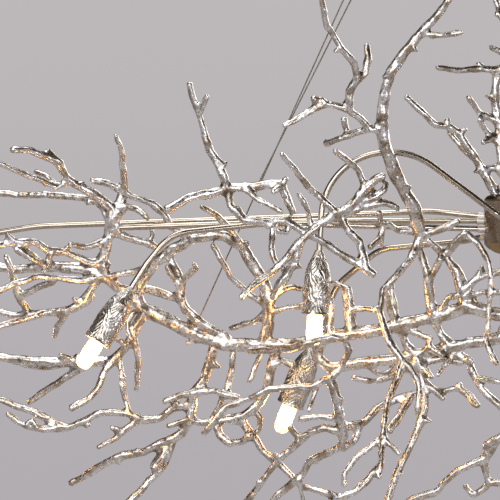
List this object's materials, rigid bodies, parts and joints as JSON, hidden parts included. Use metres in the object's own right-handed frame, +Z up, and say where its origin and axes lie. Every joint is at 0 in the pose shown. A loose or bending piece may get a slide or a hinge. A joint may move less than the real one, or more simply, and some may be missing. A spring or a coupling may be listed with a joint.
{
  "type": "branch chandelier",
  "caption": "Long chandelier of cast silver-leafed branches on taut steel wires, with bent tube arms from a turned hub and capsule lamps in bark sleeves.",
  "frame": {"origin": "middle of the ceiling face, above the hub", "axes": "+Z up, +X along the chandelier, +Y away from the picture's viewer"},
  "size_m": [1.268, 0.3376, 0.7007],
  "materials": {
    "silver_leaf": "silver leaf over cast metal",
    "satin_nickel": "satin nickel",
    "dark_bronze": "dark bronze",
    "steel": "bright",
    "porcelain": "glazed ceramic",
    "lamp_glass": "clear glass, lit"
  },
  "bodies": {
    "fitting": {"ceiling_bracket": "steel", "canopy_fixings": "satin_nickel", "canopy": "dark_bronze", "terminal_blocks": "porcelain", "cord_glands": "dark_bronze", "cable_grippers": "satin_nickel", "suspension_wires": "steel", "wire_ferrules": "satin_nickel", "hub_body": "dark_bronze", "hub_cap": "dark_bronze", "hub_bowl": "dark_bronze", "hub_bolt": "satin_nickel", "hub_finial": "dark_bronze", "arm_collars": "satin_nickel", "lamp_arm_1": "satin_nickel", "lamp_arm_2": "satin_nickel", "lamp_arm_3": "satin_nickel", "lamp_arm_4": "satin_nickel", "lamp_arm_5": "satin_nickel", "lamp_arm_6": "satin_nickel", "lamp_arm_7": "satin_nickel", "lamp_arm_8": "satin_nickel", "stay_rod_1": "satin_nickel", "stay_rod_2": "satin_nickel", "lamp_sleeve_1": "silver_leaf", "lamp_sleeve_2": "silver_leaf", "lamp_sleeve_3": "silver_leaf", "lamp_sleeve_4": "silver_leaf", "lamp_sleeve_5": "silver_leaf", "lamp_sleeve_6": "silver_leaf", "lamp_sleeve_7": "silver_leaf", "lamp_sleeve_8": "silver_leaf", "lampholders": "porcelain", "limb_left": "silver_leaf", "limb_right": "silver_leaf", "outer_branch_left": "silver_leaf", "outer_branch_right": "silver_leaf", "middle_branch_left": "silver_leaf", "middle_branch_right": "silver_leaf", "trunk_left": "silver_leaf", "trunk_right": "silver_leaf", "crown_left": "silver_leaf", "crown_right": "silver_leaf", "lower_outer_left": "silver_leaf", "lower_outer_right": "silver_leaf", "lower_inner_left": "silver_leaf", "lower_inner_right": "silver_leaf"},
    "bulb_1_body": {"bulb_1": "lamp_glass"},
    "bulb_2_body": {"bulb_2": "lamp_glass"},
    "bulb_3_body": {"bulb_3": "lamp_glass"},
    "bulb_4_body": {"bulb_4": "lamp_glass"},
    "bulb_5_body": {"bulb_5": "lamp_glass"},
    "bulb_6_body": {"bulb_6": "lamp_glass"},
    "bulb_7_body": {"bulb_7": "lamp_glass"},
    "bulb_8_body": {"bulb_8": "lamp_glass"},
    "plunger_1_body": {"gripper_plunger_1": "steel"},
    "plunger_2_body": {"gripper_plunger_2": "steel"},
    "plunger_3_body": {"gripper_plunger_3": "steel"},
    "plunger_4_body": {"gripper_plunger_4": "steel"}
  },
  "joints": [
    {"name": "bulb_1_pull", "type": "slide", "parent": "fitting", "child": "bulb_1_body", "axis": [-0.5325, -0.0715, -0.8434], "range_m": [0, 0.02]},
    {"name": "bulb_2_pull", "type": "slide", "parent": "fitting", "child": "bulb_2_body", "axis": [-0.0608, -0.002, -0.9981], "range_m": [0, 0.02]},
    {"name": "bulb_3_pull", "type": "slide", "parent": "fitting", "child": "bulb_3_body", "axis": [-0.3577, 0.1428, -0.9228], "range_m": [0, 0.02]},
    {"name": "bulb_4_pull", "type": "slide", "parent": "fitting", "child": "bulb_4_body", "axis": [-0.4168, 0.1042, -0.903], "range_m": [0, 0.02]},
    {"name": "bulb_5_pull", "type": "slide", "parent": "fitting", "child": "bulb_5_body", "axis": [0.5325, 0.0715, -0.8434], "range_m": [0, 0.02]},
    {"name": "bulb_6_pull", "type": "slide", "parent": "fitting", "child": "bulb_6_body", "axis": [0.0608, 0.002, -0.9981], "range_m": [0, 0.02]},
    {"name": "bulb_7_pull", "type": "slide", "parent": "fitting", "child": "bulb_7_body", "axis": [0.3577, -0.1428, -0.9228], "range_m": [0, 0.02]},
    {"name": "bulb_8_pull", "type": "slide", "parent": "fitting", "child": "bulb_8_body", "axis": [0.4168, -0.1042, -0.903], "range_m": [0, 0.02]},
    {"name": "plunger_1_press", "type": "slide", "parent": "fitting", "child": "plunger_1_body", "axis": [0.4124, -0.0332, 0.9104], "range_m": [0, 0.0025], "stiffness_N_per_m": 600, "springref_m": -0.003},
    {"name": "plunger_2_press", "type": "slide", "parent": "fitting", "child": "plunger_2_body", "axis": [0.4502, 0, 0.8929], "range_m": [0, 0.0025], "stiffness_N_per_m": 600, "springref_m": -0.003},
    {"name": "plunger_3_press", "type": "slide", "parent": "fitting", "child": "plunger_3_body", "axis": [-0.4124, 0.0332, 0.9104], "range_m": [0, 0.0025], "stiffness_N_per_m": 600, "springref_m": -0.003},
    {"name": "plunger_4_press", "type": "slide", "parent": "fitting", "child": "plunger_4_body", "axis": [-0.4502, 0, 0.8929], "range_m": [0, 0.0025], "stiffness_N_per_m": 600, "springref_m": -0.003}
  ]
}
